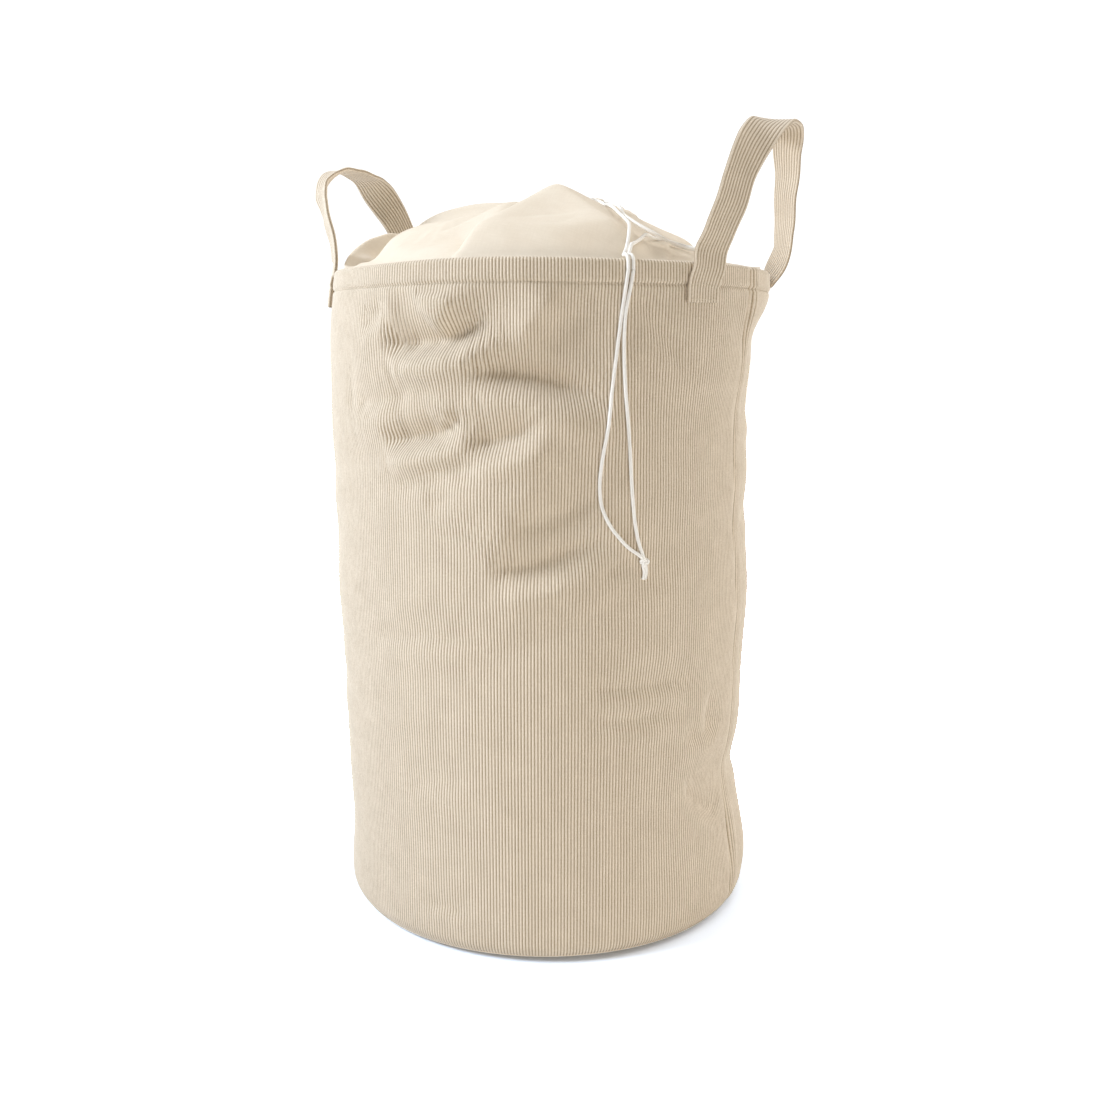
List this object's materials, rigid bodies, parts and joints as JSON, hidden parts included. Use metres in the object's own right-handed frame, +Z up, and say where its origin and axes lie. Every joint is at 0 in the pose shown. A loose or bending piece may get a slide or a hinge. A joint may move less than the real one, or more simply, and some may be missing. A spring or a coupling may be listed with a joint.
{
  "type": "laundry bag",
  "caption": "Round upright fabric laundry bag with a turned hem, side carry handles and a gathered drawstring cover over its mouth.",
  "frame": {"origin": "centre of the base, on the floor", "axes": "+Z up; +X towards the middle of the right handle; -Y towards the front"},
  "size_m": [0.4487, 0.398, 0.7266],
  "materials": {
    "corduroy": "ribbed pile",
    "cotton": "plain weave",
    "cord": "braided",
    "thread": "twisted"
  },
  "bodies": {
    "bag": {"front_panel": "corduroy", "back_panel": "corduroy", "base_panel": "corduroy", "lining_base": "cotton", "lining_wall": "cotton", "hem_thread": "thread", "side_seam_thread_left": "thread", "side_seam_thread_right": "thread", "closure_cover": "cotton", "cord_channel": "cotton", "handle_right_front_root": "corduroy", "handle_right_front_tab": "corduroy", "handle_right_front_tab_thread": "thread", "handle_right_back_root": "corduroy", "handle_right_back_tab": "corduroy", "handle_right_back_tab_thread": "thread", "handle_left_front_root": "corduroy", "handle_left_front_tab": "corduroy", "handle_left_front_tab_thread": "thread", "handle_left_back_root": "corduroy", "handle_left_back_tab": "corduroy", "handle_left_back_tab_thread": "thread", "drawcord_turn": "cord", "drawcord_lead_left": "cord", "drawcord_lead_right": "cord", "drawcord_strand_left": "cord", "drawcord_strand_right": "cord"},
    "right_handle": {"handle_right_strap": "corduroy"},
    "left_handle": {"handle_left_strap": "corduroy"},
    "drawcord_end": {"drawcord_knot": "cord", "drawcord_tail_left": "cord", "drawcord_tail_right": "cord"}
  },
  "joints": [
    {"name": "right_handle_swing", "type": "hinge", "parent": "bag", "child": "right_handle", "pos_m": [0.177, 0, 0.598], "axis": [0, 1, 0], "range_deg": [-30, 100]},
    {"name": "left_handle_swing", "type": "hinge", "parent": "bag", "child": "left_handle", "pos_m": [-0.177, 0, 0.598], "axis": [0, -1, 0], "range_deg": [-16, 110]},
    {"name": "drawcord_loosen", "type": "slide", "parent": "bag", "child": "drawcord_end", "axis": [0, 0, 1], "range_m": [0, 0.19], "deforming": ["drawcord_strand_left", "drawcord_strand_right"]}
  ]
}
